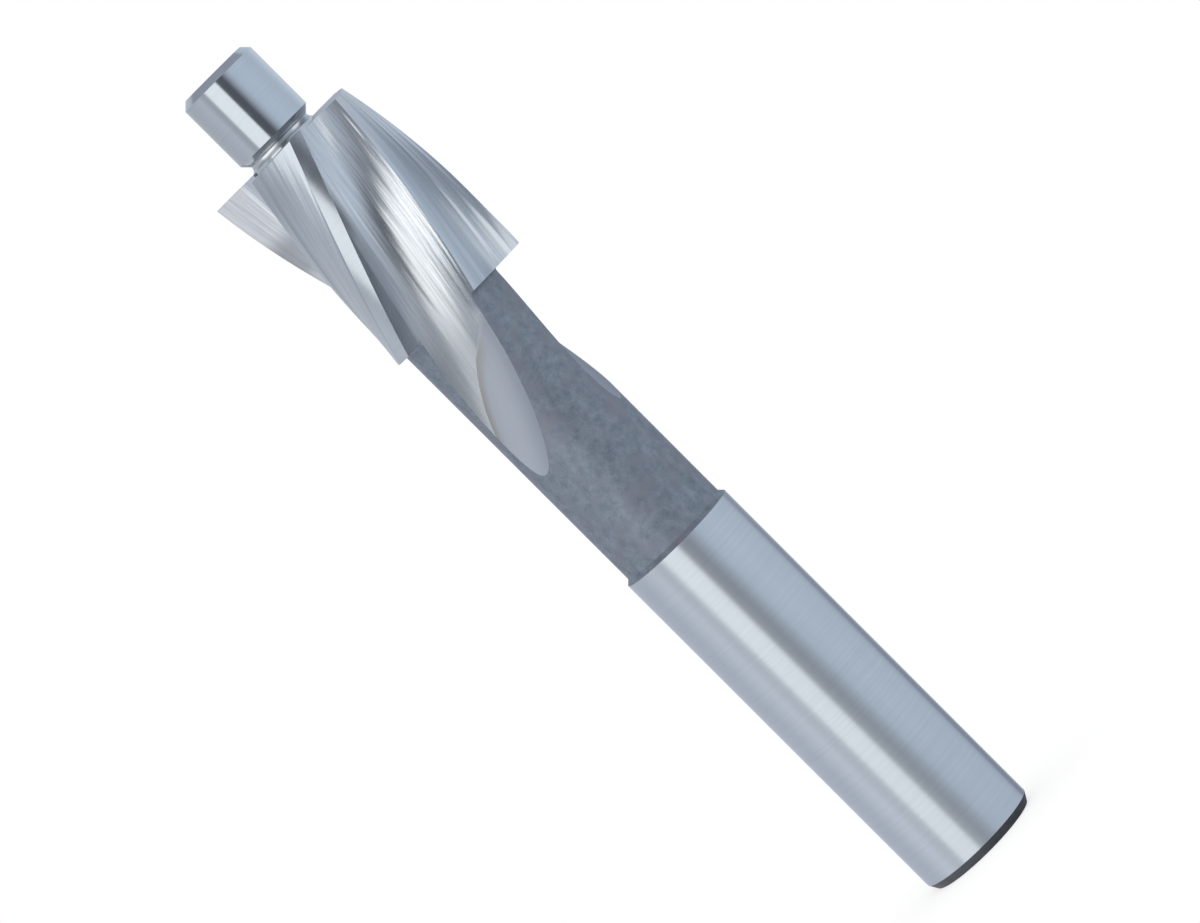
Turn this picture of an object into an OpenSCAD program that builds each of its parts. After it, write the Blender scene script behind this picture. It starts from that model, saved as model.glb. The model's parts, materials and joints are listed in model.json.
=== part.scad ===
// Counterbore cutter with a fixed guide pilot and three right-hand helical teeth.
// One bar of high-speed steel, turned and then fluted. It stands on its shank end,
// with the origin at the centre of that end and +Z along the axis to the pilot.
// Every size is in millimetres.

/* [Whole tool] */
// Length from the shank end to the pilot tip
overall_length = 100; // [90:1:130]

/* [Shank] */
// Diameter of the plain gripping shank
shank_d = 12.5; // [12.3:0.1:16]
// Length of the shank up to its shoulder
shank_length = 40.5; // [25:0.5:42]
// Height of the end chamfer along the axis
shank_chamfer_length = 0.85; // [0.4:0.05:2]
// Depth of the end chamfer across the radius
shank_chamfer_depth = 0.5; // [0.2:0.05:1.5]

/* [Neck] */
// Diameter of the neck between shank and head
neck_d = 11.6; // [10.4:0.1:12]
// Fillet between the neck and the back of the head
neck_fillet = 0.4; // [0.2:0.05:0.6]

/* [Cutting head] */
// Diameter across the cutting edges
head_d = 18; // [16:0.1:22]
// Length of the head along the axis
head_length = 21.4; // [16:0.1:24]
// Number of teeth round the head
tooth_count = 3; // [2:1:3]
// Helix angle of the flutes at the head's diameter
helix_angle = 20.5; // [10:0.5:28]
// Width of the round land behind each cutting edge
margin_w = 1.4; // [0.8:0.1:2]
// Radius of the crowned tooth back
back_radius = 22; // [14:1:60]
// Diameter at the heel, where the tooth back meets the flute
heel_d = 12.9; // [12.6:0.1:14]
// Relief angle of the end lips
lip_relief = 4; // [2:0.5:8]
// Turn of the first cutting edge about the axis, at the lips
first_edge_turn = -77; // [-180:1:180]

/* [Flutes] */
// Rake angle of the tooth face
rake_angle = 9; // [0:0.5:14]
// Hollow of the tooth face at half its height
face_hollow = 0.06; // [0.02:0.01:0.15]
// Diameter of the core between the flute floors
core_d = 8; // [7.8:0.1:9.4]
// Radius of the hollow flute floor, seen along the axis
floor_radius = 6; // [5:0.5:14]
// Angle from the cutting edge to the lowest line of the floor
floor_turn = 29.5; // [26:0.5:34]
// Fillet between the tooth face and the floor
floor_fillet = 0.8; // [0.4:0.1:1.2]
// Length of flute that runs on into the neck
flute_tail = 16.6; // [13:0.1:20]
// Diameter of the wheel whose sweep ends each flute
wheel_d = 91; // [70:1:130]

/* [Pilot] */
// Diameter of the guide pilot
pilot_d = 8.4; // [7.6:0.1:8.6]
// Length of the pilot, with its tip chamfer
pilot_length = 7.8; // [5:0.1:12]
// Chamfer of the pilot tip
pilot_chamfer = 0.7; // [0.3:0.05:1.2]
// Width of the undercut between head and pilot
undercut_w = 1.3; // [1.2:0.05:2]
// Diameter at the bottom of the undercut
undercut_d = 7; // [6.8:0.1:7.2]
// Fillet from the undercut to the front of the head
undercut_fillet = 0.55; // [0.3:0.05:0.6]

/* [Hidden] */
shank_r = shank_d / 2;
neck_r = neck_d / 2;
head_r = head_d / 2;
heel_r = heel_d / 2;
core_r = core_d / 2;
pilot_r = pilot_d / 2;
undercut_r = undercut_d / 2;
wheel_r = wheel_d / 2;

// Heights of the pilot's back, the lips and the back of the head
pilot_z = overall_length - pilot_length;
lip_z = pilot_z - undercut_w;
head_z = lip_z - head_length;

// Slopes of one to one: the shank's shoulder and the pilot side of the undercut
shoulder = shank_r - neck_r;
undercut_ramp = pilot_r - undercut_r;
undercut_round = min(undercut_fillet, undercut_w - undercut_ramp);

// Turn of the flutes for each millimetre of height
twist_rate = 360 * tan(helix_angle) / (PI * head_d);
tooth_pitch = 360 / tooth_count;
margin_turn = margin_w / head_r * 180 / PI;

// How far the cutters reach beyond the metal that they remove
overcut = head_r / 15;

// Steps along each curve of the flute's section, and along the flute
face_steps = 4;
fillet_steps = 5;
floor_steps = 12;
back_steps = 8;
outer_steps = 8;
head_steps = 16;
tail_steps = 16;
turn_steps = 6;

// A point at a radius and angle, and the angle of a vector
function polar(r, a) = [r * cos(a), r * sin(a)];
function bearing(v) = atan2(v.y, v.x);

// Points along an arc, from its given first step
function arc(centre, r, a0, a1, steps, first = 0) =
    [for (i = [first : steps]) centre + polar(r, a0 + (a1 - a0) * i / steps)];

// Points from p up to q, bowed to the left by the given depth at half way
function bowed(p, q, depth, steps) =
    let (side = polar(4 * depth, bearing(q - p) + 90))
    [for (i = [0 : steps - 1]) let (t = i / steps) p + (q - p) * t + side * t * (1 - t)];

// The flute's section, with the cutting edge on the x axis
rake_in = -polar(1, rake_angle);
rake_side = polar(1, rake_angle + 90);
edge = [head_r, 0];
floor_centre = polar(core_r + floor_radius, floor_turn);

// Fillet that touches both the tooth face and the floor
fillet_start = edge + floor_fillet * rake_side - floor_centre;
fillet_reach = floor_radius - floor_fillet;
fillet_along = fillet_start * rake_in;
fillet_travel = -fillet_along
    + sqrt(pow(fillet_along, 2) - fillet_start * fillet_start + pow(fillet_reach, 2));
fillet_centre = edge + floor_fillet * rake_side + fillet_travel * rake_in;
fillet_end_turn = bearing(fillet_centre - floor_centre);

// Heel, where the floor reaches the heel's circle
centre_gap = core_r + floor_radius;
heel_swing = acos((pow(centre_gap, 2) + pow(heel_r, 2) - pow(floor_radius, 2))
    / (2 * centre_gap * heel_r));
heel = polar(heel_r, floor_turn + heel_swing);

// Crowned back from the heel to the trailing side of the next margin
back_end = polar(head_r, tooth_pitch - margin_turn);
back_chord = back_end - heel;
back_half = norm(back_chord) / 2;
back_drop = sqrt(pow(back_radius, 2) - pow(back_half, 2));
back_out = bearing(back_chord) - 90;
back_centre = (heel + back_end) / 2 - polar(back_drop, back_out);

// Whole section: tooth face, fillet, floor and back, closed outside the head
face_top = edge - overcut * rake_in;
face_foot = fillet_centre - floor_fillet * rake_side;
floor_end_turn = floor_turn - 180 - asin(heel_r * sin(heel_swing) / floor_radius);
back_start_turn = bearing(heel - back_centre);
back_end_turn = bearing(back_end - back_centre) + overcut / back_radius * 180 / PI;
back_arc = arc(back_centre, back_radius, back_start_turn, back_end_turn, back_steps, 1);
outer_start = bearing(back_arc[back_steps - 1]);
outer_r = (head_r + 2 * overcut) / cos(tooth_pitch / (2 * outer_steps));
flute_section = concat(
    bowed(face_top, face_foot, face_hollow, face_steps),
    arc(fillet_centre, floor_fillet, rake_angle - 90, fillet_end_turn, fillet_steps),
    arc(floor_centre, floor_radius, fillet_end_turn, floor_end_turn, floor_steps, 1),
    back_arc,
    arc([0, 0], outer_r, outer_start, bearing(face_top), outer_steps)
);

// The wheel's lift over the tail, from the full depth to just clear of the neck
tail_lift = neck_r - core_r;
clear_lift = tail_lift + overcut;
function sweep_length(lift) = sqrt(pow(wheel_r, 2) - pow(wheel_r - lift, 2));
function wheel_lift(d) = wheel_r - sqrt(pow(wheel_r, 2) - pow(d, 2));
tail_end_z = head_z - flute_tail;
lift_z = tail_end_z + sweep_length(tail_lift);
flute_top_z = lip_z + overcut;

flute_levels = concat(
    [for (i = [0 : head_steps]) flute_top_z + (lift_z - flute_top_z) * i / head_steps],
    [for (i = [1 : tail_steps]) lift_z - sweep_length(clear_lift) * i / tail_steps]
);
function lift_at(z) = z < lift_z ? wheel_lift(lift_z - z) : 0;
function turn_at(z) = first_edge_turn + (z - lip_z) * twist_rate;
function turned(p, a) = [p.x * cos(a) - p.y * sin(a), p.x * sin(a) + p.y * cos(a)];
function lifted(p, z) = p + polar(lift_at(z), floor_turn);
function flute_ring(z) = [for (p = flute_section) concat(turned(lifted(p, z), turn_at(z)), [z])];

// Swept skin over rings of equal length
module skin(rings) {
    n = len(rings[0]);
    last = len(rings) - 1;
    points = [for (ring = rings) each ring];
    sides = [
        for (j = [0 : last - 1], i = [0 : n - 1])
        let (k = (i + 1) % n, a = j * n, b = a + n)
        each [[a + i, b + i, a + k], [a + k, b + i, b + k]]
    ];
    top = [for (i = [0 : n - 1]) i];
    bottom = [for (i = [n - 1 : -1 : 0]) last * n + i];
    polyhedron(points, concat(sides, [top, bottom]));
}

// Half section of the turned bar, from the shank end up to the pilot tip
module blank() {
    neck_corner = [neck_r + neck_fillet, head_z - neck_fillet];
    undercut_corner = [undercut_r + undercut_round, lip_z + undercut_round];
    rotate_extrude()
        polygon(concat(
            [
                [0, 0],
                [shank_r - shank_chamfer_depth, 0],
                [shank_r, shank_chamfer_length],
                [shank_r, shank_length - shoulder],
                [neck_r, shank_length]
            ],
            arc(neck_corner, neck_fillet, 180, 90, turn_steps),
            [
                [head_r, head_z],
                [head_r, lip_z]
            ],
            arc(undercut_corner, undercut_round, 270, 180, turn_steps),
            [
                [undercut_r, pilot_z - undercut_ramp],
                [pilot_r, pilot_z],
                [pilot_r, overall_length - pilot_chamfer],
                [pilot_r - pilot_chamfer, overall_length],
                [0, overall_length]
            ]
        ));
}

// One flute, with the clearance over the next tooth's back
module flute() {
    skin([for (z = flute_levels) flute_ring(z)]);
}

// Wedge that backs off the end lip of one tooth down to the undercut
module lip_wedge() {
    reach = head_r + overcut;
    fall = reach * tan(lip_relief);
    rotate(first_edge_turn)
        translate([0, 0, lip_z])
            difference() {
                rotate([90, 0, 90])
                    linear_extrude(reach)
                        polygon([[0, 0], [0, overcut], [-reach, overcut], [-reach, -fall]]);
                translate([0, 0, -fall - overcut])
                    cylinder(r = undercut_r + undercut_round / 2, h = fall + 3 * overcut, $fn = 64);
            }
}

module counterbore() {
    color("lightsteelblue")
        difference() {
            blank($fn = 128);
            for (i = [0 : tooth_count - 1])
                rotate(i * tooth_pitch) {
                    flute();
                    lip_wedge();
                }
        }
}

counterbore();
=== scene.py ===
import cmath
import json
import math

import bmesh
import bpy
from mathutils import Matrix, Vector


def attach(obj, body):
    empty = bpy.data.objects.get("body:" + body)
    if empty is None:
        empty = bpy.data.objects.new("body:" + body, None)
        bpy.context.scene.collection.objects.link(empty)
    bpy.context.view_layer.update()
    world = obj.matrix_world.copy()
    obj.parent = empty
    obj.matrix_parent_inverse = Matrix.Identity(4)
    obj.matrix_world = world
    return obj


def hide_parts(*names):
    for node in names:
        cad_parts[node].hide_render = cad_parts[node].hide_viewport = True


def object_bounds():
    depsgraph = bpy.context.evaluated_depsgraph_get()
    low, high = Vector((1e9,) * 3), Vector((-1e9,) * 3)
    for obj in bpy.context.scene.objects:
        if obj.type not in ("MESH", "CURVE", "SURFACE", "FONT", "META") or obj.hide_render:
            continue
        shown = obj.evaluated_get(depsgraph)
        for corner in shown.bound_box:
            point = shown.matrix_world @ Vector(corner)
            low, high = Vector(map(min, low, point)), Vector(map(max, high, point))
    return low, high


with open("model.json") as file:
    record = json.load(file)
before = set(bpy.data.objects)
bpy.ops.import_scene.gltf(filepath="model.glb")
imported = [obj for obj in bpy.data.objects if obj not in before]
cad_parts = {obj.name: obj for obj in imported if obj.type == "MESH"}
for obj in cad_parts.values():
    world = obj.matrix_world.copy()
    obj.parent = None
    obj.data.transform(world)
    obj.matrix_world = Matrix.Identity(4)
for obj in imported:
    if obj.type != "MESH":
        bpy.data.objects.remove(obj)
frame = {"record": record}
CAD_LOW, CAD_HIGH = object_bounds()

# Sizes of the tool in millimetres, as in the part's source
MM = 0.001
MOUNTS = {mount["name"]: mount for mount in frame["record"]["mounts"]}
LENGTH = (CAD_HIGH.z - CAD_LOW.z) / MM
SHANK_R = MOUNTS["shank"]["dims"]["r_mm"]
PILOT_R = MOUNTS["pilot"]["dims"]["r_mm"]
SHANK_LENGTH = 40.5
SHANK_CHAMFER_LENGTH = 0.85
SHANK_CHAMFER_DEPTH = 0.5
NECK_R = 5.8
NECK_FILLET = 0.4
HEAD_R = 9.0
HEAD_LENGTH = 21.4
TOOTH_COUNT = 3
HELIX_ANGLE = 20.5
MARGIN_W = 1.4
BACK_RADIUS = 22.0
HEEL_R = 6.45
LIP_RELIEF = 4.0
FIRST_EDGE_TURN = -77.0
RAKE_ANGLE = 9.0
FACE_HOLLOW = 0.06
CORE_R = 4.0
FLOOR_RADIUS = 6.0
FLOOR_TURN = 29.5
FLOOR_FILLET = 0.8
FLUTE_TAIL = 16.6
WHEEL_R = 45.5
PILOT_LENGTH = 7.8
PILOT_CHAMFER = 0.7
UNDERCUT_W = 1.3
UNDERCUT_R = 3.5
UNDERCUT_FILLET = 0.55

# Heights and angles that follow from them
PILOT_Z = LENGTH - PILOT_LENGTH
LIP_Z = PILOT_Z - UNDERCUT_W
HEAD_Z = LIP_Z - HEAD_LENGTH
TAIL_Z = HEAD_Z - FLUTE_TAIL
TAIL_DEPTH = NECK_R - CORE_R
LIFT_Z = TAIL_Z + math.sqrt(WHEEL_R ** 2 - (WHEEL_R - TAIL_DEPTH) ** 2)
SHOULDER = SHANK_R - NECK_R
UNDERCUT_RAMP = PILOT_R - UNDERCUT_R
TWIST_RATE = math.tan(math.radians(HELIX_ANGLE)) / HEAD_R
PITCH = 2 * math.pi / TOOTH_COUNT
RELIEF_RING_R = UNDERCUT_R + UNDERCUT_FILLET / 2

# Columns across each stretch of one tooth, and rows along it
FACE_COLUMNS = 10
FLOOR_COLUMNS = 44
SIDE_COLUMNS = 3
HEEL_COLUMNS = 3
BACK_COLUMNS = 22
MARGIN_COLUMNS = 8
NECK_COLUMNS = FACE_COLUMNS + HEEL_COLUMNS + BACK_COLUMNS + MARGIN_COLUMNS
HEAD_ROWS = 60
REAR_ROWS = 4
FRONT_ROWS = 8
FILLET_ROWS = 5
RUN_ROWS = 12
TAIL_ROWS = 46
PLAIN_NECK_ROWS = 8
SHANK_ROWS = 24
PILOT_ROWS = 10
END_ROWS = 6
CURVE_POINTS = 240

# Points closer than this become one vertex, and the rounds that settle the top of a column
WELD = 1e-4
TOP_ROUNDS = 4

# Finish line across the flute: its height on the lowest line, half the floor's width, its slopes
# towards the heel and towards the tooth face, and its bend by the tooth face
FINISH_Z = 64.9
FLOOR_HALF_W = 3.4
FINISH_HEEL_SLOPE = 0.75
FINISH_FACE_SLOPE = 1.25
FINISH_FACE_BEND = 0.2

# How gradually the grinding lines fade out there: the least, what the heel adds and where it starts
FINISH_CRISP = 0.12
FINISH_FADE = 0.6
FINISH_FADE_START = -0.3

# Height above the finish line that is given to the back of the head, away from the floor
OFF_FLOOR = 5.0

# Relief of the floor: its slope, where it fades across from the lowest line, where it rises and
# falls along the flute, and the share of it that the lips take away
RELIEF_SLOPE = 0.23
RELIEF_HEEL = 2.5
RELIEF_FOOT = -3.8
RELIEF_REST = -0.5
RELIEF_FADE = 0.8
RELIEF_RISE = (62.0, 79.0)
RELIEF_FALL = (80.0, 90.9)
RELIEF_LIP_LOSS = 1.3


def turned(p, angle):
    return p * cmath.rect(1, angle)


def polar(r, degrees):
    return cmath.rect(r, math.radians(degrees))


def steps(count):
    return [i / count for i in range(count + 1)]


def arc(centre, r, start, end, count):
    """Points of an arc round a centre, between two angles in radians."""
    return [centre + cmath.rect(r, start + (end - start) * t) for t in steps(count)]


def bearing(p):
    return cmath.phase(p)


# Section of one flute, with the cutting edge on the x axis
EDGE = complex(HEAD_R, 0)
RAKE_IN = -polar(1, RAKE_ANGLE)
RAKE_SIDE = polar(1, RAKE_ANGLE + 90)
LIFT_WAY = polar(1, FLOOR_TURN)
FLOOR_CENTRE = LIFT_WAY * (CORE_R + FLOOR_RADIUS)


def dot(p, q):
    return (p * q.conjugate()).real


def fillet_centre():
    """Centre of the fillet that touches both the tooth face and the floor."""
    start = EDGE + FLOOR_FILLET * RAKE_SIDE - FLOOR_CENTRE
    along = dot(start, RAKE_IN)
    reach = FLOOR_RADIUS - FLOOR_FILLET
    travel = -along + math.sqrt(along ** 2 - abs(start) ** 2 + reach ** 2)
    return EDGE + FLOOR_FILLET * RAKE_SIDE + travel * RAKE_IN


def heel_point():
    """Where the floor's arc reaches the heel's circle."""
    gap = CORE_R + FLOOR_RADIUS
    swing = math.acos((gap ** 2 + HEEL_R ** 2 - FLOOR_RADIUS ** 2) / (2 * gap * HEEL_R))
    return cmath.rect(HEEL_R, math.radians(FLOOR_TURN) + swing)


def flute_curve():
    """Tooth face, fillet and floor from the cutting edge to the heel."""
    centre = fillet_centre()
    foot = centre - FLOOR_FILLET * RAKE_SIDE
    hollow = -RAKE_SIDE * 4 * FACE_HOLLOW
    face = [EDGE + (foot - EDGE) * t + hollow * t * (1 - t) for t in steps(CURVE_POINTS)]
    floor_start = bearing(centre - FLOOR_CENTRE)
    bend = arc(centre, FLOOR_FILLET, math.radians(RAKE_ANGLE - 90), floor_start, CURVE_POINTS)
    floor_end = floor_start + math.remainder(bearing(HEEL - FLOOR_CENTRE) - floor_start, 2 * math.pi)
    floor = arc(FLOOR_CENTRE, FLOOR_RADIUS, floor_start, floor_end, CURVE_POINTS)
    return face + bend[1:] + floor[1:]


def back_curve():
    """Crowned tooth back from the heel to the trailing side of the next margin."""
    end = cmath.rect(HEAD_R, PITCH - MARGIN_W / HEAD_R)
    chord = end - HEEL
    drop = math.sqrt(BACK_RADIUS ** 2 - abs(chord) ** 2 / 4)
    centre = (HEEL + end) / 2 + 1j * chord / abs(chord) * drop
    return arc(centre, BACK_RADIUS, bearing(HEEL - centre), bearing(end - centre), BACK_COLUMNS)


HEEL = heel_point()
FLUTE_CURVE = flute_curve()
BACK_CURVE = back_curve()
MARGIN_CURVE = arc(0, HEAD_R, PITCH - MARGIN_W / HEAD_R, PITCH, MARGIN_COLUMNS)


def resampled(points, count):
    """The same polyline with count equal steps along its length."""
    lengths = [0.0]
    for p, q in zip(points, points[1:]):
        lengths.append(lengths[-1] + abs(q - p))
    if lengths[-1] < WELD:
        return [points[0]] * (count + 1)
    found = [points[0]]
    k = 0
    for t in steps(count)[1:-1]:
        goal = lengths[-1] * t
        while lengths[k + 1] < goal:
            k += 1
        share = (goal - lengths[k]) / (lengths[k + 1] - lengths[k])
        found.append(points[k] + (points[k + 1] - points[k]) * share)
    return found + [points[-1]]


def crossing(p, q, r):
    """Point between p and q that lies on the circle of radius r."""
    share = (abs(p) - r) / (abs(p) - abs(q))
    return p + (q - p) * share


def split_flute(lift, r):
    """The lifted flute curve as three runs: face above radius r, floor inside it, wall above it."""
    curve = [p + LIFT_WAY * lift for p in FLUTE_CURVE]
    inside = [i for i, p in enumerate(curve) if abs(p) < r]
    if not inside:
        return None
    i, j = inside[0], inside[-1]
    entry = crossing(curve[i - 1], curve[i], r)
    leave = crossing(curve[j + 1], curve[j], r)
    return curve[:i] + [entry], [entry] + curve[i:j + 1] + [leave], [leave] + curve[j + 1:]


def floor_row(run, r):
    """Columns of the floor inside the neck's radius, with a strip on each side out to radius r."""
    if r < NECK_R + WELD:
        return run[:1] * SIDE_COLUMNS + resampled(run, FLOOR_COLUMNS) + run[-1:] * SIDE_COLUMNS
    inside = [i for i, p in enumerate(run) if abs(p) < NECK_R]
    i, j = inside[0], inside[-1]
    entry = crossing(run[i - 1], run[i], NECK_R)
    leave = crossing(run[j + 1], run[j], NECK_R)
    first = resampled(run[:i] + [entry], SIDE_COLUMNS)
    middle = resampled([entry] + run[i:j + 1] + [leave], FLOOR_COLUMNS)
    last = resampled([leave] + run[j + 1:], SIDE_COLUMNS)
    return first[:-1] + middle + last[1:]


def wheel_lift(z):
    """How far the wheel has lifted out of the flute at height z."""
    if z >= LIFT_Z:
        return 0.0
    return WHEEL_R - math.sqrt(WHEEL_R ** 2 - (LIFT_Z - z) ** 2)


def neck_radius(z):
    """Radius of the neck at height z, with the fillet below the head."""
    rise = max(0.0, z - HEAD_Z + NECK_FILLET)
    return NECK_R + NECK_FILLET - math.sqrt(NECK_FILLET ** 2 - rise ** 2)


def tooth_turn(z, tooth):
    return math.radians(FIRST_EDGE_TURN) + (z - LIP_Z) * TWIST_RATE + tooth * PITCH


def lip_drop(p):
    """How far the end relief lies below the lips at a point of the head's front."""
    for tooth in range(TOOTH_COUNT):
        q = turned(p, -tooth_turn(LIP_Z, tooth))
        if q.real > 0 > q.imag:
            return -q.imag * math.tan(math.radians(LIP_RELIEF))
    return 0.0


def column_top(p, tooth):
    """Height at which the column through section point p meets the head's front."""
    z = LIP_Z
    for _ in range(TOP_ROUNDS):
        z = LIP_Z - lip_drop(turned(p, tooth_turn(z, tooth)))
    return z


def point(p, z):
    return (p.real, p.imag, z)


# Stretches of the surface, by the finish that they take
PATCHES = (
    "floor", "face", "back", "margin", "neck", "head_rear", "head_front", "relief_wall",
    "undercut", "undercut_ramp", "pilot", "pilot_chamfer", "pilot_tip",
    "shoulder", "shank", "shank_chamfer", "shank_end",
)
FINISH_OF = {
    "floor": "flute_ground", "face": "flute_ground", "back": "land_ground", "margin": "margin_ground",
    "neck": "neck_scale", "head_rear": "end_ground", "head_front": "end_ground",
    "relief_wall": "pilot_ground", "undercut": "groove_turned", "undercut_ramp": "groove_turned",
    "pilot": "pilot_ground", "pilot_chamfer": "pilot_ground", "pilot_tip": "end_ground",
    "shoulder": "neck_scale", "shank": "shank_ground", "shank_chamfer": "chamfer_near_black",
    "shank_end": "end_ground",
}
FINISHES = (
    "flute_ground", "land_ground", "margin_ground", "neck_scale", "pilot_ground", "shank_ground",
    "chamfer_near_black", "groove_turned", "end_ground",
)

# Stretches that flow into each other, and the turn beyond which an edge is sharp anyway
SMOOTH_PAIRS = {("face", "floor"), ("head_rear", "neck")}
SHARP_TURN = math.radians(40)


class Skin:
    """Collects grids of points into one mesh with shared vertices."""

    def __init__(self):
        self.mesh = bmesh.new()
        self.patch = self.mesh.faces.layers.int.new("patch")
        self.finish_line = self.mesh.verts.layers.float.new("finish_line")
        self.finish_soft = self.mesh.verts.layers.float.new("finish_soft")
        self.relief = self.mesh.verts.layers.float.new("floor_relief")
        self.known = {}

    def vertex(self, p):
        key = tuple(round(c / WELD) for c in p)
        if key not in self.known:
            made = self.mesh.verts.new(Vector(p) * MM)
            made[self.finish_line] = p[2] - HEAD_Z + OFF_FLOOR
            made[self.finish_soft] = 1.0
            self.known[key] = made
        return self.known[key]

    def grid(self, rows, patch):
        """Faces between neighbouring rows; points that coincide close to triangles."""
        made = [[self.vertex(p) for p in row] for row in rows]
        for low, high in zip(made, made[1:]):
            for i in range(len(low) - 1):
                corners = []
                for v in (low[i], low[i + 1], high[i + 1], high[i]):
                    if v not in corners:
                        corners.append(v)
                if len(corners) > 2:
                    self.face(corners, patch)
        return made

    def face(self, corners, patch):
        made = self.mesh.faces.new(corners)
        made.smooth = True
        made[self.patch] = PATCHES.index(patch)
        made.material_index = FINISHES.index(FINISH_OF[patch])

    def finished(self, name):
        """The mesh as an object, with sharp edges between its stretches."""
        bmesh.ops.recalc_face_normals(self.mesh, faces=self.mesh.faces)
        for edge in self.mesh.edges:
            pair = tuple(sorted(PATCHES[f[self.patch]] for f in edge.link_faces))
            together = len(set(pair)) == 1 or pair in SMOOTH_PAIRS
            edge.smooth = together and edge.calc_face_angle(0.0) < SHARP_TURN
        data = bpy.data.meshes.new(name)
        self.mesh.to_mesh(data)
        self.mesh.free()
        obj = bpy.data.objects.new(name, data)
        bpy.context.scene.collection.objects.link(obj)
        return obj


def head_columns():
    """Section columns of one tooth pitch, run by run, from one cutting edge to the next."""
    rear_r = neck_radius(HEAD_Z)
    face, floor, wall = split_flute(0.0, rear_r)
    return {
        "face": resampled(face, FACE_COLUMNS),
        "floor": floor_row(floor, rear_r),
        "wall": resampled(wall, HEEL_COLUMNS),
        "back": BACK_CURVE,
        "margin": MARGIN_CURVE,
    }


def head_grid(columns, tooth):
    """Rows from the back of the head up to its front, along the helix."""
    tops = [column_top(p, tooth) for p in columns]
    rows = []
    for t in steps(HEAD_ROWS):
        heights = [HEAD_Z + (top - HEAD_Z) * t for top in tops]
        rows.append([point(turned(p, tooth_turn(z, tooth)), z) for p, z in zip(columns, heights)])
    return rows


def neck_levels():
    """Heights from the back of the head down to the end of the flutes."""
    fillet = [HEAD_Z - NECK_FILLET * (1 - math.cos(t * math.pi / 2)) for t in steps(FILLET_ROWS)]
    start = HEAD_Z - NECK_FILLET
    run = [start + (LIFT_Z - start) * t for t in steps(RUN_ROWS)]
    tail = [TAIL_Z + (LIFT_Z - TAIL_Z) * (1 - t) ** 2 for t in steps(TAIL_ROWS)]
    return fillet + run[1:] + tail[1:]


def neck_section(z):
    """Floor points of the flute and the angles at which the neck's round surface starts and ends."""
    r = neck_radius(z)
    runs = split_flute(wheel_lift(z), r)
    if runs is None or z <= TAIL_Z:
        tip = LIFT_WAY * r
        return [tip] * (FLOOR_COLUMNS + 2 * SIDE_COLUMNS + 1), bearing(tip), bearing(tip) + PITCH
    floor = floor_row(runs[1], r)
    return floor, bearing(floor[-1]), bearing(floor[0]) + PITCH


def add_tooth(skin, tooth):
    """One tooth pitch of the head and the fluted neck; gives back its lower and its upper rim."""
    columns = head_columns()
    levels = neck_levels()
    sections = [neck_section(z) for z in levels]

    def placed(points, z):
        return [point(turned(p, tooth_turn(z, tooth)), z) for p in points]

    runs = {name: head_grid(points, tooth) for name, points in columns.items()}
    face = skin.grid(runs["face"], "face")
    tail = [placed(section[0], z) for section, z in zip(sections, levels)]
    floor = skin.grid(tail[::-1] + runs["floor"][1:], "floor")
    mark_finish_line(skin, floor)
    wall = skin.grid(runs["wall"], "floor")
    mark_relief(skin, face + floor + wall, tooth)
    skin.grid(runs["back"], "back")
    skin.grid(runs["margin"], "margin")

    neck = []
    for (floor_points, start, end), z in zip(sections, levels):
        between = arc(0, neck_radius(z), start, end, NECK_COLUMNS)[1:-1]
        neck.append(placed([floor_points[-1]] + between + [turned(floor_points[0], PITCH)], z))
    skin.grid(neck, "neck")

    next_face = head_grid(columns["face"], tooth + 1)[0]
    outer = runs["wall"][0] + runs["back"][0][1:] + runs["margin"][0][1:] + next_face[1:]
    skin.grid(blend_rows(neck[0], outer, REAR_ROWS), "head_rear")
    return neck[-1], front_edge(runs)


def blend_rows(first, last, count):
    """Rows that lead from one row of points to another."""
    between = [
        [tuple(Vector(p).lerp(Vector(q), t)) for p, q in zip(first, last)]
        for t in steps(count)[1:-1]
    ]
    return [first] + between + [last]


def front_edge(runs):
    """Upper rim of one tooth pitch, from its cutting edge to the next."""
    rim = list(runs["face"][-1])
    for name in ("floor", "wall", "back", "margin"):
        rim += runs[name][-1][1:]
    return rim


def mark_finish_line(skin, floor):
    """Height above the slanted line where the finish-ground flute gives way to the run-out."""
    for row in floor:
        for i, vertex in enumerate(row):
            share = min(1.0, max(0.0, (i - SIDE_COLUMNS) / FLOOR_COLUMNS)) * 2 - 1
            vertex[skin.finish_line] = vertex.co.z / MM - finish_height(share)
            vertex[skin.finish_soft] = finish_softness(share)


def mark_relief(skin, rows, tooth):
    """Slight extra slope that the grinding left between the heel and the lowest line."""
    for row in rows:
        z = row[0].co.z / MM
        centre = FLOOR_CENTRE + LIFT_WAY * wheel_lift(z)
        share = smooth(z, *RELIEF_RISE) * (1 - RELIEF_LIP_LOSS * smooth(z, *RELIEF_FALL))
        for vertex in row:
            spot = turned(complex(vertex.co.x, vertex.co.y) / MM, -tooth_turn(vertex.co.z / MM, tooth))
            across = -FLOOR_RADIUS * bearing((spot - centre) / -LIFT_WAY)
            height = relief_height(across) - relief_height(RELIEF_REST)
            vertex[skin.relief] = share * RELIEF_SLOPE * height


def smooth(value, low, high):
    """Smooth step from 0 at low to 1 at high."""
    t = min(1.0, max(0.0, (value - low) / (high - low)))
    return t * t * (3 - 2 * t)


def relief_height(across):
    """Height of a unit slope that fades in at the heel and out at the foot of the tooth face."""
    def knee(start):
        return math.log(math.cosh((across - start) / RELIEF_FADE)) * RELIEF_FADE / 2
    return knee(RELIEF_FOOT) - knee(RELIEF_HEEL)


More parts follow.
